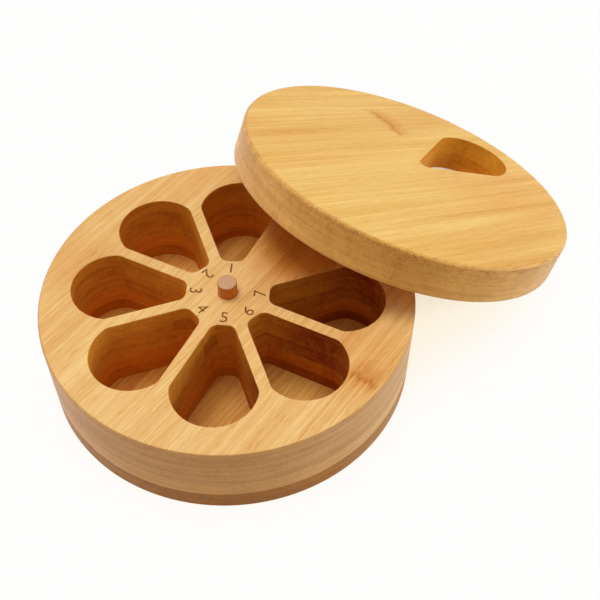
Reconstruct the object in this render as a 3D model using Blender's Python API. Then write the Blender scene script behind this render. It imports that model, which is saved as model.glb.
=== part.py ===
"""Round bamboo pill organizer: a pocketed base, a pivot dowel and a turning lid with one window.

Metres, +Z up. The origin is the centre of the base's underside, which stands on the table.
The seven pockets lie at multiples of 45 degrees, and the blank sector at +45 degrees.
The lid is off: its low edge is on the table and its underside leans over the base's rim.
"""

import math

import bmesh
import bpy
from mathutils import Matrix, Vector

# Overall form
BOX_DIAMETER = 0.1150
RIM_EASE = 0.0012  # radius of the rounded outer edges of base and lid

# Base: three glued bamboo boards
BASE_TOP_THICKNESS = 0.0157
BASE_MIDDLE_THICKNESS = 0.0057
BASE_BOTTOM_THICKNESS = 0.0071
GLUE_LINE = 0.00005

# Lid: two glued bamboo boards
LID_TOP_THICKNESS = 0.0065
LID_BOTTOM_THICKNESS = 0.0065

# Pockets, routed from above
SECTOR_COUNT = 8
POCKET_COUNT = 7
FIRST_POCKET_AZIMUTH = 90.0
POCKET_FLOOR = 0.0025
POCKET_WEB = 0.0038  # wood between two neighbouring pockets
POCKET_INNER_WALL = 0.0129  # from the pivot's axis to a pocket's flat inner end
POCKET_OUTER_WALL = 0.0091  # wood between a pocket's round end and the outside
POCKET_END_RADIUS = 0.0128
POCKET_CORNER_RADIUS = 0.0030
POCKET_SHOULDER_RADIUS = 0.0040  # where a straight wall runs into the round end
MOUTH_EASE = 0.0005

# Window through the lid, one sector wide
WINDOW_WEB = 0.0025
WINDOW_INNER_WALL = 0.0072
WINDOW_OUTER_WALL = 0.0071
WINDOW_END_RADIUS = 0.01335
WINDOW_CORNER_RADIUS = 0.0027
WINDOW_SHOULDER_RADIUS = 0.0030

# Pivot dowel, in a blind hole in the base
DOWEL_DIAMETER = 0.0060
DOWEL_PROUD = 0.0048  # above the base's top face
DOWEL_SEAT_DEPTH = 0.0120
DOWEL_CHAMFER = 0.0004
DOWEL_SIDE_CLEARANCE = 0.0001
DOWEL_END_CLEARANCE = 0.0003
LID_BORE_SIDE_CLEARANCE = 0.00025
LID_BORE_END_CLEARANCE = 0.0006
LID_BORE_CHAMFER = 0.0005

# How the lid that was taken off leans
LEAN_TILT = 23.7
LEAN_AZIMUTH = 44.0
LEAN_RIM_GAP = 0.0008
CLOSED_AZIMUTH = 180.0  # where the window stands once the lid is over the dowel

# Smoothness of the round forms
RIM_SEGMENTS = 120
EASE_SEGMENTS = 3
DOWEL_SEGMENTS = 40
CHAMFER_SEGMENTS = 2
MOUTH_SEGMENTS = 2
END_SEGMENTS = 20
CORNER_SEGMENTS = 4
SHOULDER_SEGMENTS = 3
SMOOTH_ANGLE = 35.0  # faces that meet at less are shaded as one
CUT_OVERRUN = 0.0020  # how far a cutter runs past the faces it goes through

box_radius = BOX_DIAMETER / 2
base_bottom_top = BASE_BOTTOM_THICKNESS
base_middle_low = base_bottom_top + GLUE_LINE
base_middle_top = base_middle_low + BASE_MIDDLE_THICKNESS
base_top_low = base_middle_top + GLUE_LINE
base_height = base_top_low + BASE_TOP_THICKNESS
lid_top_low = LID_BOTTOM_THICKNESS + GLUE_LINE
lid_height = lid_top_low + LID_TOP_THICKNESS
half_sector = math.radians(180.0 / SECTOR_COUNT)


def clear_scene():
    for old in list(bpy.data.objects):
        bpy.data.objects.remove(old, do_unlink=True)


def make_material(name, color, roughness):
    """A Principled material of bare or lightly oiled wood."""
    material = bpy.data.materials.new(name)
    material.use_nodes = True
    shader = material.node_tree.nodes["Principled BSDF"]
    shader.inputs["Base Color"].default_value = (*color, 1.0)
    shader.inputs["Roughness"].default_value = roughness
    shader.inputs["Metallic"].default_value = 0.0
    material.diffuse_color = (*color, 1.0)
    return material


def add_object(name, mesh_builder, material=None, parent=None):
    """Turns a bmesh into a named object, smooth on its round faces."""
    mesh = bpy.data.meshes.new(name)
    mesh_builder.to_mesh(mesh)
    mesh_builder.free()
    mesh.shade_smooth()
    mesh.set_sharp_from_angle(angle=math.radians(SMOOTH_ANGLE))
    if material is not None:
        mesh.materials.append(material)
    made = bpy.data.objects.new(name, mesh)
    made.parent = parent
    bpy.context.scene.collection.objects.link(made)
    return made


def add_empty(name, matrix, parent=None):
    made = bpy.data.objects.new(name, None)
    made.empty_display_size = 0.01
    bpy.context.scene.collection.objects.link(made)
    made.parent = parent
    if parent is not None:
        made.matrix_parent_inverse = parent.matrix_world.inverted()
    made.matrix_world = matrix
    bpy.context.view_layer.update()
    return made


def as_cutter(made):
    made.hide_render = True
    made.display_type = "WIRE"
    return made


def cut(board, cutter):
    boolean = board.modifiers.new(cutter.name, "BOOLEAN")
    boolean.operation = "DIFFERENCE"
    boolean.solver = "EXACT"
    boolean.object = cutter


def disc(radius, low, high, segments):
    """A plain disc from one height to another, centred on the Z axis."""
    made = bmesh.new()
    bmesh.ops.create_cone(
        made,
        cap_ends=True,
        segments=segments,
        radius1=radius,
        radius2=radius,
        depth=high - low,
        matrix=Matrix.Translation((0.0, 0.0, (low + high) / 2)),
    )
    return made


def ease_rim(made, height, width, segments):
    """Rounds the outer edge that lies at this height."""
    rim = [e for e in made.edges if all(abs(v.co.z - height) < width / 100 for v in e.verts)]
    bmesh.ops.bevel(
        made,
        geom=rim,
        offset=width,
        offset_type="OFFSET",
        segments=segments,
        profile=0.5,
        affect="EDGES",
    )


def arc(centre, radius, start, end, steps):
    """Points along an arc, both ends included; angles in radians."""
    turns = [start + (end - start) * step / steps for step in range(steps + 1)]
    return [centre + radius * Vector((math.cos(turn), math.sin(turn))) for turn in turns]


def sector_outline(web, inner, reach, end_radius, corner, shoulder, grow):
    """Half of a routed sector's outline, on the +Y side of its centre line along +X.

    A straight wall runs parallel to the sector's border at half a web from it. It starts
    at a rounded inner corner and runs through a rounded shoulder into the round end. An
    end too small to reach the walls gets a long shoulder that narrows towards it. The
    arcs keep their centres, and the whole outline lies outside by the given growth.
    """
    along = Vector((math.cos(half_sector), math.sin(half_sector)))
    inward = Vector((math.sin(half_sector), -math.cos(half_sector)))
    margin = web / 2
    end_centre = Vector((reach - end_radius, 0.0))

    corner_y = (inner + corner) * math.sin(half_sector) - margin - corner
    if corner_y > 0.0:
        corner_centre = Vector((inner + corner, corner_y / math.cos(half_sector)))
    else:
        corner_centre = Vector(((margin + corner) / math.sin(half_sector), 0.0))
    wall_turn = math.atan2(-inward.y, -inward.x)
    inner_corner = arc(corner_centre, corner + grow, math.pi, wall_turn, CORNER_SEGMENTS)

    wall_distance = end_centre.dot(inward) - margin
    side = 1.0 if end_radius > wall_distance else -1.0
    bend = shoulder if end_radius > wall_distance else wall_distance + shoulder
    run = side * math.sqrt((end_radius - bend) ** 2 - (wall_distance - bend) ** 2)
    bend_centre = along * (end_centre.dot(along) + run) + inward * (margin + bend)
    outward = side * (bend_centre - end_centre)
    end_turn = math.atan2(outward.y, outward.x)
    round_shoulder = arc(bend_centre, bend + grow, wall_turn, end_turn, SHOULDER_SEGMENTS)
    round_end = arc(end_centre, end_radius + grow, end_turn, 0.0, END_SEGMENTS // 2)
    return inner_corner + round_shoulder + round_end[1:]


def mirrored_loop(half):
    """A closed outline from its half, with the points on the centre line taken once."""
    on_line = 1e-7
    back = [Vector((p.x, -p.y)) for p in reversed(half) if p.y > on_line]
    return half + back


def lofted_prism(made, layers, turn):
    """Joins equal outlines at rising heights into one closed solid, turned about Z."""
    spin = Matrix.Rotation(turn, 4, "Z")
    rings = []
    for height, outline in layers:
        points = [spin @ Vector((p.x, p.y, height)) for p in outline]
        rings.append([made.verts.new(point) for point in points])
    made.faces.new(rings[0])
    made.faces.new(list(reversed(rings[-1])))
    for lower, upper in zip(rings, rings[1:]):
        for index in range(len(lower)):
            after = (index + 1) % len(lower)
            made.faces.new((lower[index], upper[index], upper[after], lower[after]))


def eased_mouth(outline_at, height, direction):
    """Layers that widen a cutter round a mouth in a face at this height."""
    layers = []
    for step in range(MOUTH_SEGMENTS + 1):
        turn = math.radians(90.0) * step / MOUTH_SEGMENTS
        grow = MOUTH_EASE * (1.0 - math.cos(turn))
        rise = MOUTH_EASE * (math.sin(turn) - 1.0)
        layers.append((height + direction * rise, outline_at(grow)))
    layers.append((height + direction * CUT_OVERRUN, outline_at(MOUTH_EASE)))
    return layers


def pocket_outline(grow):
    half = sector_outline(
        POCKET_WEB,
        POCKET_INNER_WALL,
        box_radius - POCKET_OUTER_WALL,
        POCKET_END_RADIUS,
        POCKET_CORNER_RADIUS,
        POCKET_SHOULDER_RADIUS,
        grow,
    )
    return mirrored_loop(half)


def window_outline(grow):
    half = sector_outline(
        WINDOW_WEB,
        WINDOW_INNER_WALL,
        box_radius - WINDOW_OUTER_WALL,
        WINDOW_END_RADIUS,
        WINDOW_CORNER_RADIUS,
        WINDOW_SHOULDER_RADIUS,
        grow,
    )
    return mirrored_loop(half)


def make_pocket_cutter():
    """Seven sector-shaped pockets, with the eighth sector left solid."""
    made = bmesh.new()
    layers = [(POCKET_FLOOR, pocket_outline(0.0))]
    layers += eased_mouth(pocket_outline, base_height, 1.0)
    for index in range(POCKET_COUNT):
        azimuth = FIRST_POCKET_AZIMUTH + index * 360.0 / SECTOR_COUNT
        lofted_prism(made, layers, math.radians(azimuth))
    bmesh.ops.recalc_face_normals(made, faces=made.faces)
    return as_cutter(add_object("pocket_cutter", made))


def make_window_cutter(parent):
    """The sector-shaped window, eased at both faces of the lid."""
    made = bmesh.new()
    layers = list(reversed(eased_mouth(window_outline, 0.0, -1.0)))
    layers += eased_mouth(window_outline, lid_height, 1.0)
    lofted_prism(made, layers, 0.0)
    bmesh.ops.recalc_face_normals(made, faces=made.faces)
    return as_cutter(add_object("window_cutter", made, parent=parent))


def make_board(name, low, high, eased_heights, material, parent=None):
    """A round board whose outer edge is rounded at the given heights."""
    made = disc(box_radius, low, high, RIM_SEGMENTS)
    for height in eased_heights:
        ease_rim(made, height, RIM_EASE, EASE_SEGMENTS)
    return add_object(name, made, material, parent)


def make_base():
    light = make_material("base_top_bamboo", (0.82, 0.48, 0.18), 0.45)
    pale = make_material("base_middle_bamboo", (0.55, 0.34, 0.16), 0.50)
    dark = make_material("base_bottom_bamboo", (0.36, 0.17, 0.06), 0.50)
    bottom = make_board("base_bottom_board", 0.0, base_bottom_top, [0.0], dark)
    middle = make_board("base_middle_board", base_middle_low, base_middle_top, [], pale)
    top = make_board("base_top_board", base_top_low, base_height, [base_height], light)
    pockets = make_pocket_cutter()
    for board in (bottom, middle, top):
        cut(board, pockets)
    hole_depth = DOWEL_SEAT_DEPTH + DOWEL_END_CLEARANCE
    hole = disc(
        DOWEL_DIAMETER / 2 + DOWEL_SIDE_CLEARANCE,
        base_height - hole_depth,
        base_height + CUT_OVERRUN,
        DOWEL_SEGMENTS,
    )
    cut(top, as_cutter(add_object("dowel_hole_cutter", hole)))


def make_dowel(pivot):
    """The pin that centres the lid. It turns with the lid, on the base's upright axis."""
    birch = make_material("dowel_wood", (0.62, 0.36, 0.16), 0.55)
    low = base_height - DOWEL_SEAT_DEPTH
    high = base_height + DOWEL_PROUD
    made = disc(DOWEL_DIAMETER / 2, low, high, DOWEL_SEGMENTS)
    ease_rim(made, high, DOWEL_CHAMFER, CHAMFER_SEGMENTS)
    add_object("pivot_dowel", made, birch, pivot)


def lid_bore_cutter(parent):
    """The blind hole under the lid that drops over the dowel, with a chamfered mouth."""
    radius = DOWEL_DIAMETER / 2 + LID_BORE_SIDE_CLEARANCE
    made = disc(radius, -CUT_OVERRUN, DOWEL_PROUD + LID_BORE_END_CLEARANCE, DOWEL_SEGMENTS)
    mouth = bmesh.new()
    bmesh.ops.create_cone(
        mouth,
        cap_ends=True,
        segments=DOWEL_SEGMENTS,
        radius1=radius + 2 * LID_BORE_CHAMFER,
        radius2=radius - LID_BORE_CHAMFER,
        depth=3 * LID_BORE_CHAMFER,
        matrix=Matrix.Translation((0.0, 0.0, LID_BORE_CHAMFER / 2)),
    )
    bore = as_cutter(add_object("lid_bore_cutter", made, parent=parent))
    flare = as_cutter(add_object("lid_bore_flare_cutter", mouth, parent=parent))
    return bore, flare


def make_lid(lid_frame):
    honey = make_material("lid_top_bamboo", (0.78, 0.42, 0.14), 0.42)
    amber = make_material("lid_bottom_bamboo", (0.60, 0.33, 0.12), 0.45)
    lower = make_board("lid_bottom_board", 0.0, LID_BOTTOM_THICKNESS, [0.0], amber, lid_frame)
    upper = make_board("lid_top_board", lid_top_low, lid_height, [lid_height], honey, lid_frame)
    window = make_window_cutter(lid_frame)
    cut(lower, window)
    cut(upper, window)
    for cutter in lid_bore_cutter(lid_frame):
        cut(lower, cutter)


def leaning_pose():
    """Where the lid's underside centre is when it leans over the rim, and how it is turned.

    Its low edge touches the table and its underside clears the base's rounded rim by the
    rim gap. Its window points down the slope.
    """
    tilt = math.radians(LEAN_TILT)
    eased_off = RIM_EASE * (math.sin(tilt) + math.cos(tilt) - 1.0)
    centre_height = box_radius * math.sin(tilt) - eased_off
    plane_offset = box_radius * math.sin(tilt) - eased_off + LEAN_RIM_GAP
    plane_offset += base_height * math.cos(tilt)
    distance = (plane_offset - centre_height * math.cos(tilt)) / math.sin(tilt)
    azimuth = Matrix.Rotation(math.radians(LEAN_AZIMUTH), 4, "Z")
    place = azimuth @ Vector((distance, 0.0, centre_height))
    turned = azimuth @ Matrix.Rotation(tilt, 4, "Y")
    return Matrix.Translation(place) @ turned


def swing_axis(leaning):
    """The one hinge axis that carries the leaning lid to level, centred above the dowel.

    Its local Z is the axis. A pure turn moves no point along its axis, which settles the
    height at which the lid arrives.
    """
    closed_turn = Matrix.Rotation(math.radians(CLOSED_AZIMUTH), 4, "Z")
    swing = (closed_turn @ leaning.to_3x3().to_4x4().inverted()).to_quaternion()
    axis, angle = swing.to_axis_angle()
    start = leaning.to_translation()
    arrival = start.z + (start.x * axis.x + start.y * axis.y) / axis.z
    travel = Vector((0.0, 0.0, arrival)) - start
    centre = start + travel / 2 + axis.cross(travel) / (2 * math.tan(angle / 2))
    return Matrix.Translation(centre) @ axis.to_track_quat("Z", "X").to_matrix().to_4x4()


def build():
    clear_scene()
    make_base()
    pivot = add_empty("lid_turn_axis", Matrix.Identity(4))
    make_dowel(pivot)
    leaning = leaning_pose()
    hinge = add_empty("lid_swing_axis", swing_axis(leaning), pivot)
    lid_frame = add_empty("lid_frame", leaning, hinge)
    make_lid(lid_frame)
    bpy.context.view_layer.update()


build()
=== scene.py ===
"""Round bamboo pill organizer: pocketed base, pivot dowel, and the lid leaning on its rim.

Metres and degrees, with millimetres for the figure of the wood. The pieces are made and
finished from the table up.
"""

import math

import bpy
from mathutils import Matrix, Vector


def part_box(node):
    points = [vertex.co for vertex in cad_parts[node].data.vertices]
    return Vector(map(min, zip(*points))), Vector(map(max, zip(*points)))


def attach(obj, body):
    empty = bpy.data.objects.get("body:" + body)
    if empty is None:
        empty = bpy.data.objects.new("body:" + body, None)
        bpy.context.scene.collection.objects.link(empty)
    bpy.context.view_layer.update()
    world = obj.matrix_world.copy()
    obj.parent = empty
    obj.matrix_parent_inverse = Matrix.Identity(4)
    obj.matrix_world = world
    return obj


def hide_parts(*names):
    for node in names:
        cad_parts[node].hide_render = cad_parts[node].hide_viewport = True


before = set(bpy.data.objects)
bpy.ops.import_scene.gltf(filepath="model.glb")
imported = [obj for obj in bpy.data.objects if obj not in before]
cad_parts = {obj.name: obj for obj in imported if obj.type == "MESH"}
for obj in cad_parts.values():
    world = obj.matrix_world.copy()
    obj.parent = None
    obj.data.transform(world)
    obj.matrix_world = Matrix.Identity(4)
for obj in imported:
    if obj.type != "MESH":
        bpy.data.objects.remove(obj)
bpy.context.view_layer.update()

# ---- Base, bottom board -------------------------------------------------------------
# The lowest of three bamboo boards that are glued into the base. It closes the seven
# pockets: the router stops 2.5 mm above its underside. Its rim is sanded and eased.

SECTORS = 8
POCKETS = 7
FIRST_POCKET_AZIMUTH = 90.0
POCKET_FLOOR = 0.0025
POCKET_WEB = 0.0038
POCKET_INNER_WALL = 0.0129
POCKET_OUTER_WALL = 0.0091
POCKET_END_RADIUS = 0.0128
POCKET_CORNER_RADIUS = 0.0030
POCKET_SHOULDER_RADIUS = 0.0040
BASE_EASE = 0.0006
EASE_STEPS = 5
CUT_OVERRUN = 0.0020
RIM_FACETS = 256
RIM_ZONE = 0.0013  # how far in from the outside a board's edge finish can lie
ARC_STEP = 6.0  # degrees of an arc that one facet of a routed wall spans
MIRROR_WELD = 0.00001
SMOOTH_ANGLE = 30.0
FLAT = 0.9  # a face whose normal rises by more than this counts as level
NEAR = 0.00001  # points as near as this to a height are at that height
BASE_GRAIN_AZIMUTH = 57.3

# Each wood as its pale and its deep colour. The warm pair: amber, warmer spots, painted shade.
BOTTOM = ((0.60, 0.265, 0.016), (0.32, 0.105, 0.006))
LOW_ROUTED = ((0.74, 0.290, 0.022), (0.46, 0.135, 0.012))
FLOOR = ((0.98, 0.590, 0.145), (0.74, 0.335, 0.058))
WARM = ((0.72, 0.280, 0.030), (0.52, 0.150, 0.010))
WARMEST = 0.92  # the largest share of the warm colours anywhere
ROUTED_GLOSS = 0.6
SANDED = {"patch": 0.1, "streaks": 0.4, "dashes": 0.1, "dots": 0.1, "layers": 0.3}
ROUTED = {"patch": 0.2, "streaks": 0.5, "dashes": 0.05, "layers": 0.35, "gloss": ROUTED_GLOSS}

# How far each kind of mark takes the wood from its pale colour, 0, to its deep one, 1.
MEAN_DEPTH = 0.45
DEEPEST = 1.4
STREAK_DEPTH = 1.1
FINE_DEPTH = 0.50
SEAM_DEPTH = 0.2
PALE_DASH_DEPTH = 0.8  # as a share of a dark dash's
SPARSE = 0.10  # how much of the fibre bundles shows where they are few

# Marks in the wood: length and width in millimetres, how far aside their noise is taken
# so that no two kinds coincide, and its detail.
MILLIMETRE = 0.001
WIDE_STREAK = (240.0, 6.0, 0.0, 2.0)
STREAK = (110.0, 1.7, 0.0, 3.0)
FINE_STREAK = (50.0, 0.50, 0.0, 2.0)
DARK_DASH = (6.0, 0.42, 31.0, 1.0)
PALE_DASH = (8.0, 0.50, 67.0, 1.0)
AMBER_CLOUD = (80.0, 12.0, 11.0, 1.0)
FIBRE_BUNDLE = (60.0, 0.62)  # length and width alone
LEVEL_BAND = (45.0, 1.5)  # length and height
BASE_STRIPS = (14.0, 0.37, 5.25, 0.45)
STRIP_SHIFT = 90.0  # the most that a strip's marks are shifted along the grain

# The levels of a noise or a distance between which each mark comes up.
FINE_FADE = (0.28, 0.72)
DARK_DASH_FADE = (0.60, 0.70)
PALE_DASH_FADE = (0.60, 0.72)
AMBER_FADE = (0.42, 0.72)
BUNDLE_FADE = (0.20, 0.42)
CROWDED_FADE = (0.35, 0.75)  # up a strip, as a share of its thickness
LEVEL_FADE = (0.32, 0.68)
SEAM_FADE = (0.485, 0.497)  # from the middle of a strip, as a share of its width
SPOT_FADE = (0.2, 1.0)

# How the surface shines, and its height in metres with each mark's share of it.
SHINE = 0.2
GLOSS_DRIFT = 0.25
BUMP = 0.35
GRAIN_HEIGHT = 0.00006
STREAK_RISE = 0.3
DASH_DROP = 0.6

# A joint of the cane: a fine dark line, and a glow that lags behind it.
JOINT_RIPPLE = 5.0
JOINT_FRAY = 0.8
JOINT_LAG = 1.5
JOINT_ENDS = (0.70, 1.05)
JOINT_LINE = (0.25, 1.8)
JOINT_GLOW = (1.0, 6.5)
LINE_DEPTH = 0.32
GLOW_DEPTH = 0.20
LINE_WARMTH = 0.15
GLOW_WARMTH = 0.20

board_low, board_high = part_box("base_bottom_board")
box_radius = (board_high.x - board_low.x) / 2


class Value:
    """A shader socket that Python's arithmetic turns into Math nodes."""

    def __init__(self, nodes, socket):
        self.nodes = nodes
        self.socket = socket

    def math(self, operation, *others):
        return self.nodes.node("ShaderNodeMath", {"operation": operation}, self, *others)

    def math_after(self, operation, first):
        return self.nodes.node("ShaderNodeMath", {"operation": operation}, first, self)

    def __add__(self, other):
        return self.math("ADD", other)

    def __sub__(self, other):
        return self.math("SUBTRACT", other)

    def __rsub__(self, other):
        return self.math_after("SUBTRACT", other)

    def __mul__(self, other):
        return self.math("MULTIPLY", other)

    def __truediv__(self, other):
        return self.math("DIVIDE", other)

    def __rtruediv__(self, other):
        return self.math_after("DIVIDE", other)

    __radd__ = __add__
    __rmul__ = __mul__


class Nodes:
    """The node tree of a material or of the world, put together node by node."""

    def __init__(self, owner):
        self.owner = owner
        owner.use_nodes = True
        self.tree = owner.node_tree

    def node(self, kind, settings=None, *inputs, output=0, **named):
        """Adds a node: its settings first, then its inputs in order or by name."""
        made = self.tree.nodes.new(kind)
        for setting, value in (settings or {}).items():
            setattr(made, setting, value)
        for key, value in [*enumerate(inputs), *named.items()]:
            self.feed(made.inputs[key], value)
        return Value(self, made.outputs[output])

    def feed(self, socket, value):
        if isinstance(value, Value):
            self.tree.links.new(value.socket, socket)
        else:
            socket.default_value = value

    def surface(self, inputs):
        """Feeds the material's own shader and gives its output."""
        shader = self.tree.nodes["Principled BSDF"]
        for name, value in inputs.items():
            self.feed(shader.inputs[name], value)
        return Value(self, shader.outputs["BSDF"])

    def split(self, vector):
        parts = self.node("ShaderNodeSeparateXYZ", None, vector)
        return [Value(self, output) for output in parts.socket.node.outputs]

    def cell(self, x, y, z):
        return self.node("ShaderNodeCombineXYZ", None, x, y, z)

    def noise(self, vector, detail):
        """Soft noise about 0.5, one cell to the unit."""
        return self.node("ShaderNodeTexNoise", None, vector, Scale=1.0, Detail=detail)

    def step(self, value, low, high):
        """0 below the low value and 1 above the high one, with a smooth rise between."""
        settings = {"interpolation_type": "SMOOTHSTEP"}
        return self.node("ShaderNodeMapRange", settings, value, low, high, 0.0, 1.0)

    def blend(self, share, first, second):
        """Mixes two colours by a share, and goes past them where it leaves 0 to 1."""
        settings = {"data_type": "RGBA", "clamp_factor": False}
        mix = self.node("ShaderNodeMix", settings, share, output=2)
        self.feed(mix.socket.node.inputs[6], first)
        self.feed(mix.socket.node.inputs[7], second)
        return mix


def rgba(colour):
    return (*colour, 1.0)


def cane_joint(nodes, x, y, middle, fine, knot):
    """How much deeper and warmer a joint of the cane makes the wood."""
    knot_x, knot_y, half, bow = knot
    across = (y - knot_y) / half
    ripple = (middle - 0.5) * JOINT_RIPPLE + (fine - 0.5) * JOINT_FRAY
    ahead = x - knot_x + across * across * bow + ripple
    inside = 1.0 - nodes.step(across.math("ABSOLUTE"), *JOINT_ENDS)
    line = 1.0 - nodes.step(ahead.math("ABSOLUTE"), *JOINT_LINE)
    glow = 1.0 - nodes.step((ahead - JOINT_LAG).math("ABSOLUTE"), *JOINT_GLOW)
    deeper = inside * (line * LINE_DEPTH + glow * GLOW_DEPTH)
    warmer = inside * (line * LINE_WARMTH + glow * GLOW_WARMTH)
    return deeper, warmer


def bamboo(
    name,
    wood,
    grain,
    strips=BASE_STRIPS,
    patch=0.25,
    streaks=1.0,
    dashes=0.3,
    dots=0.0,
    layers=0.0,
    turn=(0.0, 1.0, 0.0),
    amber=0.0,
    spots=(),
    knots=(),
    gloss=0.45,
    sheen=0.0,
):
    """Laminated bamboo, as one solid texture along the board's own grain, in millimetres.

    The grain's matrix has the grain as its X and the board's normal as its Z. The strips
    are (width, start across, thickness, start upwards), and differ by the patch value.
    Streaks and dashes run along the grain, and layers are soft level bands. Dots are the
    fibre bundles where the end grain is cut across, closest together near a strip's top.
    The board turns darker across its grain, as (from, to, share): painted shade, and painted
    light where the share is negative. Amber comes in clouds, and a spot is a warmer place,
    as (x, y, reach, share), which the base's top uses in part for painted shade.
    A knot is (x, y, half its width, bow): the cane's joint, a darker arc across the strips.
    """
    nodes = Nodes(bpy.data.materials.new(name))
    place = nodes.node("ShaderNodeTexCoord", output="Object")
    local = nodes.node(
        "ShaderNodeMapping",
        {"vector_type": "TEXTURE"},
        place,
        grain.to_translation(),
        grain.to_euler(),
        (MILLIMETRE,) * 3,
    )
    x, y, z = nodes.split(local)

    width, start_across, thickness, start_up = strips
    across_strips = y / width + start_across
    up_strips = z / thickness + start_up
    strip = nodes.cell(across_strips.math("FLOOR"), up_strips.math("FLOOR"), 0.0)
    tone = nodes.node("ShaderNodeTexWhiteNoise", {"noise_dimensions": "2D"}, strip)
    shifted = x + tone * STRIP_SHIFT

    def along(length, width, aside, detail):
        return nodes.noise(nodes.cell(shifted / length, (y + aside) / width, z / width), detail)

    wide = along(*WIDE_STREAK)
    middle = along(*STREAK)
    fine = nodes.step(along(*FINE_STREAK), *FINE_FADE)
    dark_dash = nodes.step(along(*DARK_DASH), *DARK_DASH_FADE)
    pale_dash = nodes.step(along(*PALE_DASH), *PALE_DASH_FADE)

    bundle_length, bundle_width = FIBRE_BUNDLE
    bundle = nodes.cell(shifted / bundle_length, y / bundle_width, z / bundle_width)
    bundle = nodes.node("ShaderNodeTexVoronoi", {"feature": "F1"}, bundle, Scale=1.0)
    crowded = nodes.step(up_strips.math("FRACT"), *CROWDED_FADE)
    dot = (1.0 - nodes.step(bundle, *BUNDLE_FADE)) * (SPARSE + crowded * (1.0 - SPARSE))

    band_length, band_height = LEVEL_BAND
    level = nodes.noise(nodes.cell(x / band_length, y / band_length, z / band_height), 1.0)
    level = nodes.step(level, *LEVEL_FADE)
    seam = nodes.step((across_strips.math("FRACT") - 0.5).math("ABSOLUTE"), *SEAM_FADE)

    depth = MEAN_DEPTH + (tone - 0.5) * patch + (wide + middle - 1.0) * (STREAK_DEPTH * streaks)
    depth = depth + (fine - 0.5) * (FINE_DEPTH * streaks) + seam * (SEAM_DEPTH * streaks)
    depth = depth + (dark_dash - pale_dash * PALE_DASH_DEPTH) * dashes + dot * dots
    # The turn paints shade across the grain, and light where its share is negative.
    depth = depth + (level - 0.5) * layers + nodes.step(y, turn[0], turn[1]) * turn[2]

    warmth = nodes.step(along(*AMBER_CLOUD), *AMBER_FADE) * amber
    for spot_x, spot_y, reach, share in spots:
        ahead = (x - spot_x) / reach
        across = (y - spot_y) / reach
        away = (ahead * ahead + across * across).math("SQRT")
        warmth = warmth + (1.0 - nodes.step(away, *SPOT_FADE)) * share
    for knot in knots:
        deeper, warmer = cane_joint(nodes, x, y, middle, fine, knot)
        depth = depth + deeper
        warmth = warmth + warmer

    depth = depth.math("MAXIMUM", 0.0).math("MINIMUM", DEEPEST)
    plain = nodes.blend(depth, rgba(wood[0]), rgba(wood[1]))
    warm = nodes.blend(depth, rgba(WARM[0]), rgba(WARM[1]))
    height = (fine + middle) * STREAK_RISE - dark_dash * DASH_DROP - dot * dots
    nodes.surface(
        {
            "Base Color": nodes.blend(warmth.math("MINIMUM", WARMEST), plain, warm),
            "Roughness": gloss + (middle - 0.5) * GLOSS_DRIFT,
            "Normal": nodes.node(
                "ShaderNodeBump", None, Strength=BUMP, Distance=GRAIN_HEIGHT, Height=height
            ),
            "Specular IOR Level": SHINE,
            "Sheen Weight": sheen,
        }
    )
    return nodes.owner


base_grain = Matrix.Rotation(math.radians(BASE_GRAIN_AZIMUTH), 4, "Z")


def alone(piece):
    """Leaves this piece as the only one that is selected."""
    bpy.ops.object.select_all(action="DESELECT")
    piece.select_set(True)
    bpy.context.view_layer.objects.active = piece


def cylinder(radius, low, high, facets):
    """A cylinder about the middle axis, between two heights."""
    bpy.ops.object.select_all(action="DESELECT")
    bpy.ops.mesh.primitive_cylinder_add(
        vertices=facets,
        radius=radius,
        depth=high - low,
        location=(0.0, 0.0, (low + high) / 2),
    )
    bpy.ops.object.transform_apply()
    return bpy.context.active_object


def ease_edges(piece, height, width, steps, within=math.inf):
    """Rounds the edges that lie at a height, within a distance from the middle axis."""

    def wanted(point):
        return abs(point.z - height) < NEAR and point.xy.length < within

    alone(piece)
    bpy.ops.object.mode_set(mode="EDIT")
    bpy.ops.mesh.select_mode(type="EDGE")
    bpy.ops.mesh.select_all(action="DESELECT")
    bpy.ops.object.mode_set(mode="OBJECT")
    points = piece.data.vertices
    for edge in piece.data.edges:
        edge.select = all(wanted(points[end].co) for end in edge.vertices)
    bpy.ops.object.mode_set(mode="EDIT")
    bpy.ops.mesh.bevel(offset=width, segments=steps, affect="EDGES")
    bpy.ops.object.mode_set(mode="OBJECT")


def round_board(name, radius, low, high):
    """A turned disc between two heights."""
    board = cylinder(radius, low, high, RIM_FACETS)
    board.name = name
    return board


def spin_on(centre, turn):
    """Draws the outline on along an arc. A positive turn runs clockwise."""
    steps = max(2, round(abs(turn) / ARC_STEP))
    bpy.ops.mesh.spin(
        steps=steps, angle=math.radians(turn), center=(*centre, 0.0), axis=(0.0, 0.0, 1.0)
    )


def draw_to(start, end):
    bpy.ops.mesh.extrude_region_move(
        TRANSFORM_OT_translate={"value": (end[0] - start[0], end[1] - start[1], 0.0)}
    )


def raise_solid(height):
    """Selects all of the open piece, raises it into a solid and turns its faces outwards."""
    bpy.ops.mesh.select_all(action="SELECT")
    bpy.ops.mesh.extrude_region_move(TRANSFORM_OT_translate={"value": (0.0, 0.0, height)})
    bpy.ops.mesh.select_all(action="SELECT")
    bpy.ops.mesh.normals_make_consistent(inside=False)


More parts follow.
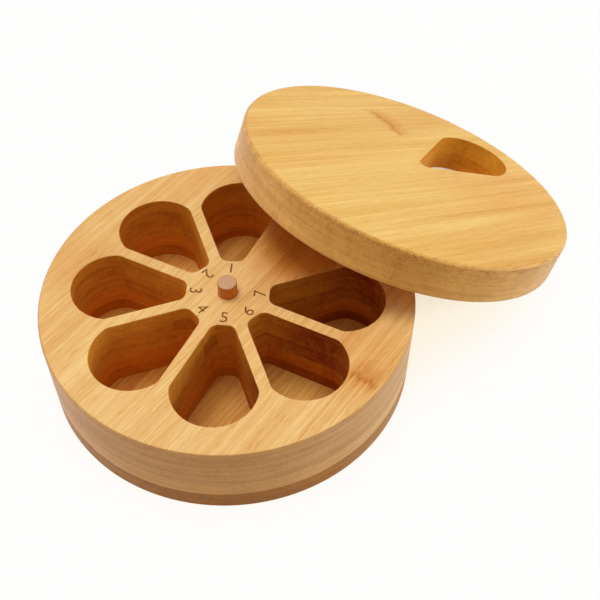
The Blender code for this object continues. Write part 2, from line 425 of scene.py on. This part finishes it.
def sector_cutter(web, inner, reach, end_radius, corner, shoulder, low, high):
    """What the router takes out of one sector: half its outline drawn, mirrored and raised.

    The straight wall keeps half a web from the sector's border. It leaves a rounded inner
    corner and passes a rounded shoulder into the round end.
    """
    half_sector = math.radians(180.0 / SECTORS)
    along = Vector((math.cos(half_sector), math.sin(half_sector)))
    inward = Vector((math.sin(half_sector), -math.cos(half_sector)))
    corner_y = ((inner + corner) * inward.x - web / 2 - corner) / along.x
    corner_centre = Vector((inner + corner, corner_y))
    if corner_y < 0.0:
        corner_centre = Vector(((web / 2 + corner) / inward.x, 0.0))
    end_centre = Vector((reach - end_radius, 0.0))
    wall_distance = end_centre.x * inward.x - web / 2
    run = math.sqrt((end_radius - shoulder) ** 2 - (wall_distance - shoulder) ** 2)
    shoulder_centre = along * (end_centre.dot(along) + run) + inward * (web / 2 + shoulder)
    outward = shoulder_centre - end_centre
    wall_turn = math.degrees(math.atan2(-inward.y, -inward.x))
    end_turn = math.degrees(math.atan2(outward.y, outward.x))

    bpy.ops.object.select_all(action="DESELECT")
    start = corner_centre.x - corner
    bpy.ops.mesh.primitive_plane_add(size=corner, location=(start, 0.0, low))
    cutter = bpy.context.active_object
    bpy.ops.object.transform_apply()
    bpy.ops.object.mode_set(mode="EDIT")
    bpy.ops.mesh.select_mode(type="VERT")
    bpy.ops.mesh.select_all(action="SELECT")
    bpy.ops.mesh.merge(type="CENTER")
    if corner_centre.y > 0.0:
        draw_to((start, 0.0), (start, corner_centre.y))
    spin_on(corner_centre, 180.0 - wall_turn)
    draw_to(corner_centre - inward * corner, shoulder_centre - inward * shoulder)
    spin_on(shoulder_centre, wall_turn - end_turn)
    spin_on(end_centre, end_turn)
    bpy.ops.object.mode_set(mode="OBJECT")

    mirror = cutter.modifiers.new("other_half", "MIRROR")
    mirror.use_axis = (False, True, False)
    mirror.merge_threshold = MIRROR_WELD
    bpy.ops.object.modifier_apply(modifier=mirror.name)
    bpy.ops.object.mode_set(mode="EDIT")
    bpy.ops.mesh.select_all(action="SELECT")
    bpy.ops.mesh.edge_face_add()
    raise_solid(high - low)
    bpy.ops.object.mode_set(mode="OBJECT")
    return cutter


def cut(board, cutter, finish):
    """Cuts the board, whose new walls take this finish."""
    cutter.data.materials.clear()
    cutter.data.materials.append(finish)
    alone(board)
    boolean = board.modifiers.new("cut", "BOOLEAN")
    boolean.operation = "DIFFERENCE"
    boolean.solver = "EXACT"
    boolean.material_mode = "TRANSFER"
    boolean.object = cutter
    bpy.ops.object.modifier_apply(modifier=boolean.name)


def finish_faces(piece, finish, wanted):
    """Gives the faces that pass the test a finish of their own."""
    piece.data.materials.append(finish)
    for face in piece.data.polygons:
        if wanted(face):
            face.material_index = len(piece.data.materials) - 1


def turned(face):
    """Tells whether a face is part of the turned outside of a board."""
    return abs(face.normal.z) < FLAT and face.center.xy.length > box_radius - RIM_ZONE


def smooth(piece):
    """Shades the round faces as one and keeps the flat ones flat."""
    alone(piece)
    bpy.ops.object.shade_smooth_by_angle(angle=math.radians(SMOOTH_ANGLE))
    weighted = piece.modifiers.new("flat_faces_first", "WEIGHTED_NORMAL")
    weighted.keep_sharp = True
    bpy.ops.object.modifier_apply(modifier=weighted.name)


def remove(*helpers):
    for helper in helpers:
        bpy.data.objects.remove(helper, do_unlink=True)


pocket_reach = box_radius - POCKET_OUTER_WALL
base_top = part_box("base_top_board")[1].z
pocket_azimuths = [FIRST_POCKET_AZIMUTH + n * 360.0 / SECTORS for n in range(POCKETS)]

pocket = sector_cutter(
    POCKET_WEB,
    POCKET_INNER_WALL,
    pocket_reach,
    POCKET_END_RADIUS,
    POCKET_CORNER_RADIUS,
    POCKET_SHOULDER_RADIUS,
    POCKET_FLOOR,
    base_top + CUT_OVERRUN,
)
pockets = []
for azimuth in pocket_azimuths:
    alone(pocket)
    bpy.ops.object.duplicate()
    pockets.append(bpy.context.active_object)
    pockets[-1].rotation_euler.z = math.radians(azimuth)
    bpy.ops.object.transform_apply()
remove(pocket)
alone(pockets[0])
for pocket in pockets:
    pocket.select_set(True)
bpy.ops.object.join()
pocket_cutter = bpy.context.active_object

bottom_board = round_board("bottom_board", box_radius, board_low.z, board_high.z)
ease_edges(bottom_board, board_low.z, BASE_EASE, EASE_STEPS)
bottom_board.data.materials.append(bamboo("base_bottom_face", BOTTOM, base_grain))
cut(
    bottom_board,
    pocket_cutter,
    # Painted shade: the pockets' walls turn darker towards the front right, where the lid
    # shades them.
    bamboo("base_bottom_routed", LOW_ROUTED, base_grain, turn=(-10.0, -26.0, 0.95), **ROUTED),
)
finish_faces(bottom_board, bamboo("base_bottom_edge", BOTTOM, base_grain, **SANDED), turned)
finish_faces(
    bottom_board,
    bamboo(
        "pocket_floor_bamboo",
        FLOOR,
        base_grain,
        patch=0.5,
        streaks=1.3,
        dashes=0.6,
        gloss=0.55,
    ),
    lambda face: face.normal.z > FLAT and abs(face.center.z - POCKET_FLOOR) < NEAR,
)
smooth(bottom_board)
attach(bottom_board, "base")
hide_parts("base_bottom_board")

# ---- Base, middle board -------------------------------------------------------------
# A thinner bamboo board between the other two, glued with its strips the same way. The
# pockets pass right through it, and its sanded edge shows as a paler band.

MIDDLE = ((0.90, 0.580, 0.240), (0.62, 0.310, 0.090))
MIDDLE_ROUTED = ((0.84, 0.36, 0.040), (0.62, 0.20, 0.014))
BASE_SHEEN = 0.12

board_low, board_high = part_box("base_middle_board")
middle_board = round_board("middle_board", box_radius, board_low.z, board_high.z)
middle_board.data.materials.append(
    bamboo("base_middle_edge", MIDDLE, base_grain, sheen=BASE_SHEEN, **SANDED)
)
cut(
    middle_board,
    pocket_cutter,
    # Painted shade: the pockets' walls turn darker towards the front right, where the lid
    # shades them.
    bamboo("base_middle_routed", MIDDLE_ROUTED, base_grain, turn=(-10.0, -26.0, 0.6), **ROUTED),
)
smooth(middle_board)
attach(middle_board, "base")
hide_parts("base_middle_board")

# ---- Base, top board ----------------------------------------------------------------
# The thick, pale face board. Its pocket mouths are sanded round, a blind hole takes the
# dowel, and a laser burns one number by each pocket, with its top towards the dowel.

MOUTH_EASE = 0.0003
MOUTH_STEPS = 4
DOWEL_SIDE_CLEARANCE = 0.0001
DOWEL_END_CLEARANCE = 0.0003
HOLE_FACETS = 64
NUMBER_RADIUS = 0.0101
NUMBER_HEIGHT = 0.0040
NUMBER_DEPTH = 0.00015
NUMBER_WELD = 0.000005
LETTER_SIZE_PER_HEIGHT = 1.38  # of the built-in typeface
SLIVER = 0.000002  # the cuts' points as close as this are welded

TOP = ((0.93, 0.635, 0.262), (0.72, 0.365, 0.090))
TOP_EDGE = ((0.80, 0.480, 0.190), (0.48, 0.225, 0.062))
TOP_ROUTED = ((0.90, 0.430, 0.050), (0.46, 0.140, 0.014))
BURNT = ((0.36, 0.120, 0.018), (0.20, 0.055, 0.007))
# Warmer spots on the top face. The first is painted shade under the lid's overhang, and
# the second painted warm shade near the lid on the right; the third is a warmer place.
TOP_PAINTED_SHADE_AND_WARM_SPOTS = [(32.0, -7.0, 28.0, 1.0), (4.0, -48.0, 24.0, 0.35), (-20.0, 48.0, 18.0, 0.25)]
TOP_KNOT = (-1.9, -51.4, 5.0, 1.0)

board_low, board_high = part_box("base_top_board")
dowel_low, dowel_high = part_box("pivot_dowel")
dowel_radius = (dowel_high.x - dowel_low.x) / 2

top_finish = bamboo(
    "base_top_face",
    TOP,
    base_grain,
    streaks=0.8,
    dashes=0.45,
    amber=0.15,
    spots=TOP_PAINTED_SHADE_AND_WARM_SPOTS,
    knots=[TOP_KNOT],
)
top_edge_finish = bamboo(
    "base_top_edge",
    TOP_EDGE,
    base_grain,
    patch=0.12,
    streaks=0.4,
    dashes=0.1,
    dots=0.12,
    layers=0.3,
    sheen=BASE_SHEEN,
)
top_routed = bamboo(
    "base_top_routed",
    TOP_ROUTED,
    base_grain,
    patch=0.4,
    streaks=0.5,
    dashes=0.05,
    layers=0.2,
    # Painted shade: the pockets' walls turn darker towards the front right, where the lid
    # shades them.
    turn=(-12.0, -28.0, 0.75),
    gloss=ROUTED_GLOSS,
)
burnt = bamboo("burnt_numbers", BURNT, base_grain, gloss=0.7)

top_board = round_board("top_board", box_radius, board_low.z, board_high.z)
ease_edges(top_board, board_high.z, BASE_EASE, EASE_STEPS)
top_board.data.materials.append(top_finish)
cut(top_board, pocket_cutter, top_routed)
mouths_reach = pocket_reach + MOUTH_EASE / 2
ease_edges(top_board, base_top, MOUTH_EASE, MOUTH_STEPS, mouths_reach)

hole_cutter = cylinder(
    dowel_radius + DOWEL_SIDE_CLEARANCE,
    dowel_low.z - DOWEL_END_CLEARANCE,
    base_top + CUT_OVERRUN,
    HOLE_FACETS,
)
cut(top_board, hole_cutter, top_routed)

for index, azimuth in enumerate(pocket_azimuths):
    turn = math.radians(azimuth)
    bpy.ops.object.select_all(action="DESELECT")
    bpy.ops.object.text_add(
        location=(
            NUMBER_RADIUS * math.cos(turn),
            NUMBER_RADIUS * math.sin(turn),
            base_top - NUMBER_DEPTH,
        ),
        rotation=(0.0, 0.0, turn + math.radians(90.0)),
    )
    number = bpy.context.active_object
    number.data.body = str(index + 1)
    number.data.align_x = "CENTER"
    number.data.align_y = "CENTER"
    number.data.size = NUMBER_HEIGHT * LETTER_SIZE_PER_HEIGHT
    bpy.ops.object.convert(target="MESH")
    bpy.ops.object.transform_apply()
    bpy.ops.object.mode_set(mode="EDIT")
    bpy.ops.mesh.select_all(action="SELECT")
    bpy.ops.mesh.remove_doubles(threshold=NUMBER_WELD)
    raise_solid(NUMBER_DEPTH + CUT_OVERRUN)
    bpy.ops.object.mode_set(mode="OBJECT")
    cut(top_board, number, burnt)
    remove(number)

alone(top_board)
bpy.ops.object.mode_set(mode="EDIT")
bpy.ops.mesh.select_all(action="SELECT")
bpy.ops.mesh.remove_doubles(threshold=SLIVER)
bpy.ops.mesh.dissolve_degenerate(threshold=SLIVER)
bpy.ops.object.mode_set(mode="OBJECT")
finish_faces(top_board, top_edge_finish, turned)
smooth(top_board)
remove(pocket_cutter, hole_cutter)
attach(top_board, "base")
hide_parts("base_top_board")

# ---- Pivot dowel --------------------------------------------------------------------
# A stock birch dowel that stands in the base's blind hole and centres the lid. Its end
# is sawn and lightly chamfered, and shows the rings of the wood.

DOWEL_CHAMFER = 0.0004
DOWEL_CHAMFER_STEPS = 4
DOWEL_FACETS = 64
DOWEL_END_RISE = 0.6  # a face whose normal rises by more than this shows the end grain
RING_HEART = (0.0009, -0.0007, 0.0)
RING_WAVER = 0.3
BIRCH_FIBRE = (4.0, 0.22)  # length and width in millimetres
BIRCH_MEAN_DEPTH = 0.42
BIRCH_FIBRE_DEPTH = 1.1
BIRCH_GLOSS = 0.5
BIRCH_GLOSS_DRIFT = 0.3
BIRCH_BUMP = 0.3
BIRCH_HEIGHT = 0.00005

DOWEL_END = ((0.70, 0.40, 0.200), (0.44, 0.21, 0.095))
# The side's deep orange is partly the birch's own side grain and partly painted warm light
# reflected from the bamboo around it.
DOWEL_SIDE = ((0.68, 0.210, 0.009), (0.44, 0.105, 0.006))


def birch(name, wood, ring_spacing, ring_depth):
    """Birch along the upright dowel: fine fibres on its side and rings on its end."""
    nodes = Nodes(bpy.data.materials.new(name))
    local = nodes.node(
        "ShaderNodeMapping",
        {"vector_type": "TEXTURE"},
        nodes.node("ShaderNodeTexCoord", output="Object"),
        RING_HEART,
        (0.0, 0.0, 0.0),
        (MILLIMETRE,) * 3,
    )
    x, y, z = nodes.split(local)
    radius = (x * x + y * y).math("SQRT")
    length, width = BIRCH_FIBRE
    fibre = nodes.noise(nodes.cell(x / width, y / width, z / length), 3.0)
    ring = radius + (fibre - 0.5) * RING_WAVER
    ring = (ring * (math.tau / ring_spacing)).math("SINE")
    depth = BIRCH_MEAN_DEPTH + ring * ring_depth + (fibre - 0.5) * BIRCH_FIBRE_DEPTH
    nodes.surface(
        {
            "Base Color": nodes.blend(depth, rgba(wood[0]), rgba(wood[1])),
            "Roughness": BIRCH_GLOSS + (fibre - 0.5) * BIRCH_GLOSS_DRIFT,
            "Normal": nodes.node(
                "ShaderNodeBump", None, Strength=BIRCH_BUMP, Distance=BIRCH_HEIGHT, Height=fibre
            ),
        }
    )
    return nodes.owner


dowel = cylinder(dowel_radius, dowel_low.z, dowel_high.z, DOWEL_FACETS)
dowel.name = "dowel"
ease_edges(dowel, dowel_high.z, DOWEL_CHAMFER, DOWEL_CHAMFER_STEPS)
side_and_bounce_finish = birch("dowel_side_and_painted_bounce", DOWEL_SIDE, ring_spacing=2.6, ring_depth=0.15)
end_finish = birch("dowel_end", DOWEL_END, ring_spacing=1.1, ring_depth=0.10)
dowel.data.materials.append(side_and_bounce_finish)
finish_faces(dowel, end_finish, lambda face: face.normal.z > DOWEL_END_RISE)
smooth(dowel)
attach(dowel, "dowel")
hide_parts("pivot_dowel")

# ---- Lid, lower board ---------------------------------------------------------------
# The lower of the lid's two bamboo boards. A blind, chamfered hole in its underside
# drops over the dowel, and the window is routed through both boards at once.

LID_TILT = 23.7
LID_AZIMUTH = 44.0
LID_BOARD_THICKNESS = 0.0065
LID_HEIGHT = 0.01305
LID_EASE = 0.0012
LID_SANDED = 0.00006  # keeps the finer circle inside the box of the coarser one
LID_GRAIN_TURN = -4.8
LID_STRIPS = (17.5, 0.28, 6.55, 0.0)
# Painted light: the lid's edge turns paler towards its front right side.
LID_EDGE_PAINTED_LIGHT = (-36.0, -54.0, -0.2)
LID_SHEEN = 0.35
WINDOW_WEB = 0.0025
WINDOW_INNER_WALL = 0.0072
WINDOW_OUTER_WALL = 0.0071
WINDOW_END_RADIUS = 0.01335
WINDOW_CORNER_RADIUS = 0.0027
WINDOW_SHOULDER_RADIUS = 0.0030
LID_BORE_SIDE_CLEARANCE = 0.00025
LID_BORE_END_CLEARANCE = 0.0006
LID_BORE_CHAMFER = 0.0005

LID_LOW = ((0.94, 0.570, 0.160), (0.64, 0.290, 0.048))
UNDERSIDE = ((0.84, 0.420, 0.070), (0.60, 0.230, 0.022))
WINDOW = ((0.84, 0.390, 0.036), (0.58, 0.190, 0.007))

lid_radius = box_radius - LID_SANDED
lid_boxes = [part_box("lid_bottom_board"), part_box("lid_top_board")]
lid_low = [min(low[axis] for low, high in lid_boxes) for axis in range(3)]
lid_high = [max(high[axis] for low, high in lid_boxes) for axis in range(3)]
lid_centre = (Vector(lid_low) + Vector(lid_high)) / 2
lid_turned = Matrix.Rotation(math.radians(LID_AZIMUTH), 4, "Z") @ Matrix.Rotation(
    math.radians(LID_TILT), 4, "Y"
)
lid_place = (
    Matrix.Translation(lid_centre)
    @ lid_turned
    @ Matrix.Translation((0.0, 0.0, -LID_HEIGHT / 2))
)
lid_grain = lid_place @ Matrix.Rotation(math.radians(LID_GRAIN_TURN), 4, "Z")


def lean(piece):
    """Carries a piece of the lid from level at the origin to where the lid leans."""
    alone(piece)
    piece.matrix_world = lid_place
    bpy.ops.object.transform_apply()


window_finish = bamboo(
    "routed_window_bamboo",
    WINDOW,
    lid_grain,
    LID_STRIPS,
    patch=0.4,
    streaks=0.7,
    dashes=0.1,
    layers=0.25,
    gloss=ROUTED_GLOSS,
)
lower_edge_finish = bamboo(
    "lid_lower_edge",
    LID_LOW,
    lid_grain,
    LID_STRIPS,
    patch=0.35,
    streaks=0.5,
    dashes=0.1,
    dots=0.15,
    layers=0.3,
    turn=LID_EDGE_PAINTED_LIGHT,
    sheen=LID_SHEEN,
)
window_reach = box_radius - WINDOW_OUTER_WALL
window_mouth_reach = window_reach + MOUTH_EASE / 2
window_cutter = sector_cutter(
    WINDOW_WEB,
    WINDOW_INNER_WALL,
    window_reach,
    WINDOW_END_RADIUS,
    WINDOW_CORNER_RADIUS,
    WINDOW_SHOULDER_RADIUS,
    -CUT_OVERRUN,
    LID_HEIGHT + CUT_OVERRUN,
)
lower_board = round_board("lower_board", lid_radius, 0.0, LID_BOARD_THICKNESS)
ease_edges(lower_board, 0.0, LID_EASE, EASE_STEPS)
lower_board.data.materials.append(bamboo("lid_lower_face", UNDERSIDE, lid_grain, LID_STRIPS))
cut(lower_board, window_cutter, window_finish)
ease_edges(lower_board, 0.0, MOUTH_EASE, MOUTH_STEPS, window_mouth_reach)

bore_radius = dowel_radius + LID_BORE_SIDE_CLEARANCE
bore_top = dowel_high.z - base_top + LID_BORE_END_CLEARANCE
bore_cutter = cylinder(bore_radius, -CUT_OVERRUN, bore_top, HOLE_FACETS)
cut(lower_board, bore_cutter, window_finish)
ease_edges(lower_board, 0.0, LID_BORE_CHAMFER, 1, bore_radius + NEAR)
finish_faces(lower_board, lower_edge_finish, turned)
lean(lower_board)
smooth(lower_board)
remove(bore_cutter)
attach(lower_board, "lid")
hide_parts("lid_bottom_board")

# ---- Lid, upper board ---------------------------------------------------------------
# The lid's face board, the palest and the closest grained. Its strips run down the slope,
# one of them with a joint of the cane, and its rim is sanded rounder than the base's.

LID_TOP = ((0.86, 0.580, 0.182), (0.65, 0.318, 0.053))
LID_EDGE = ((0.86, 0.490, 0.120), (0.50, 0.205, 0.026))
LID_SPOT = (32.0, -18.0, 40.0, 0.25)
LID_KNOT = (16.0, 28.5, 10.5, 2.5)

upper_finish = bamboo(
    "lid_upper_face",
    LID_TOP,
    lid_grain,
    LID_STRIPS,
    patch=0.35,
    streaks=0.62,
    amber=0.25,
    spots=[LID_SPOT],
    knots=[LID_KNOT],
)
upper_edge_finish = bamboo(
    "lid_upper_edge",
    LID_EDGE,
    lid_grain,
    LID_STRIPS,
    patch=0.35,
    streaks=0.5,
    dashes=0.1,
    dots=0.5,
    layers=0.2,
    turn=LID_EDGE_PAINTED_LIGHT,
    sheen=LID_SHEEN,
)
upper_board = round_board(
    "upper_board", lid_radius, LID_HEIGHT - LID_BOARD_THICKNESS, LID_HEIGHT
)
ease_edges(upper_board, LID_HEIGHT, LID_EASE, EASE_STEPS)
upper_board.data.materials.append(upper_finish)
cut(upper_board, window_cutter, window_finish)
ease_edges(upper_board, LID_HEIGHT, MOUTH_EASE, MOUTH_STEPS, window_mouth_reach)
finish_faces(upper_board, upper_edge_finish, turned)
lean(upper_board)
smooth(upper_board)
remove(window_cutter)
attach(upper_board, "lid")
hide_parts("lid_top_board")

# ---- Table --------------------------------------------------------------------------
# A pale table. In the open it shows as plain white. Near the object its own colour and
# shade come through, with a ring of painted warm light: warm white where the bamboo is close.

TABLE_SIZE = 8.0
TABLE_COLOUR = (0.82, 0.66, 0.45)
TABLE_ROUGHNESS = 0.9
TABLE_WHITE = 0.98  # share of plain white in the open table
WHITE = (1.0, 1.0, 1.0)
PAINTED_BOUNCE_WHITE = (1.0, 0.90, 0.70)
SHADE_REACH = 0.045  # how near a piece has to be to shade the table
SHADE_SAMPLES = 8
SHADE_FADE = (0.02, 0.14)  # shares of open sky between which the shade fades
PAINTED_BOUNCE_FADE = (0.15, 0.70)  # and between which the tint does


def seen_directly(nodes):
    """1 for what the camera sees, also in a reflection or through something clear."""
    paths = nodes.node("ShaderNodeLightPath").socket.node.outputs
    seen = Value(nodes, paths["Is Camera Ray"])
    for path in ("Is Glossy Ray", "Is Transmission Ray"):
        seen = seen.math("MAXIMUM", Value(nodes, paths[path]))
    return seen


bpy.ops.object.select_all(action="DESELECT")
bpy.ops.mesh.primitive_plane_add(size=TABLE_SIZE, location=(0.0, 0.0, 0.0))
table = bpy.context.active_object
table.name = "table"
nodes = Nodes(bpy.data.materials.new("pale_table"))
open_sky = nodes.node(
    "ShaderNodeAmbientOcclusion", {"samples": SHADE_SAMPLES}, Distance=SHADE_REACH, output="AO"
)
# Painted light: a warm white glow near the bamboo, in place of the light it bounces.
painted_bounce_glow = nodes.node("ShaderNodeEmission", None, rgba(PAINTED_BOUNCE_WHITE), 1.0)
plain_white = nodes.node("ShaderNodeEmission", None, rgba(WHITE), 1.0)
white = nodes.node(
    "ShaderNodeMixShader", None, nodes.step(open_sky, *PAINTED_BOUNCE_FADE), painted_bounce_glow, plain_white
)
shaded = nodes.surface({"Base Color": rgba(TABLE_COLOUR), "Roughness": TABLE_ROUGHNESS})
share = seen_directly(nodes) * (nodes.step(open_sky, *SHADE_FADE) * TABLE_WHITE)
mixed = nodes.node("ShaderNodeMixShader", None, share, shaded, white)
nodes.feed(nodes.tree.nodes["Material Output"].inputs["Surface"], mixed)
table.data.materials.append(nodes.owner)

# ---- Light and camera ---------------------------------------------------------------
# Soft studio light: a dome that is brightest overhead, one large lamp above and behind,
# and one low on each side. The camera looks down from the front.

SKY_LEAN = (0.15, 0.30, 0.94)  # towards the dome's brightest place
SKY_ABOVE = (0.60, 0.57, 0.51)
SKY_LEVEL = (0.20, 0.115, 0.05)
LAMP_AIM = (0.02, 0.02, 0.02)
# Each lamp's name, place, size, watts and colour.
LAMPS = [
    ("key", (-0.15, 0.18, 0.85), 0.45, 3.6, (1.0, 0.99, 0.99)),
    ("right", (0.70, 0.10, 0.20), 0.35, 2.2, (0.85, 0.98, 1.0)),
    ("left", (-0.70, 0.05, 0.16), 0.30, 0.9, (0.94, 0.98, 1.0)),
]
CAMERA_PLACE = (0.03254, -0.18503, 0.25080)
CAMERA_TURN = (39.566, -0.262, 3.519)
CAMERA_LENS = 56.766
CAMERA_SENSOR = 36.0
CAMERA_NEAREST = 0.01

nodes = Nodes(bpy.data.worlds.new("studio"))
bpy.context.scene.world = nodes.owner
upward = nodes.node(
    "ShaderNodeVectorMath",
    {"operation": "DOT_PRODUCT"},
    nodes.node("ShaderNodeTexCoord", output="Generated"),
    SKY_LEAN,
    output="Value",
)
dome = nodes.blend(upward.math("MAXIMUM", 0.0), rgba(SKY_LEVEL), rgba(SKY_ABOVE))
lit = nodes.tree.nodes["Background"]
nodes.feed(lit.inputs["Color"], dome)
lit = Value(nodes, lit.outputs["Background"])
white = nodes.node("ShaderNodeBackground", None, rgba(WHITE), 1.0)
backdrop = nodes.node("ShaderNodeMixShader", None, seen_directly(nodes), lit, white)
nodes.feed(nodes.tree.nodes["World Output"].inputs["Surface"], backdrop)

for name, place, size, power, colour in LAMPS:
    bpy.ops.object.select_all(action="DESELECT")
    bpy.ops.object.light_add(type="AREA", location=place)
    lamp = bpy.context.active_object
    lamp.name = name
    lamp.data.size = size
    lamp.data.energy = power
    lamp.data.color = colour
    aim = Vector(LAMP_AIM) - Vector(place)
    lamp.rotation_euler = aim.to_track_quat("-Z", "Y").to_euler()

bpy.ops.object.camera_add(
    location=CAMERA_PLACE, rotation=[math.radians(turn) for turn in CAMERA_TURN]
)
camera = bpy.context.active_object
camera.data.sensor_width = CAMERA_SENSOR
camera.data.lens = CAMERA_LENS
camera.data.clip_start = CAMERA_NEAREST
bpy.context.scene.camera = camera
bpy.context.scene.view_settings.view_transform = "Standard"
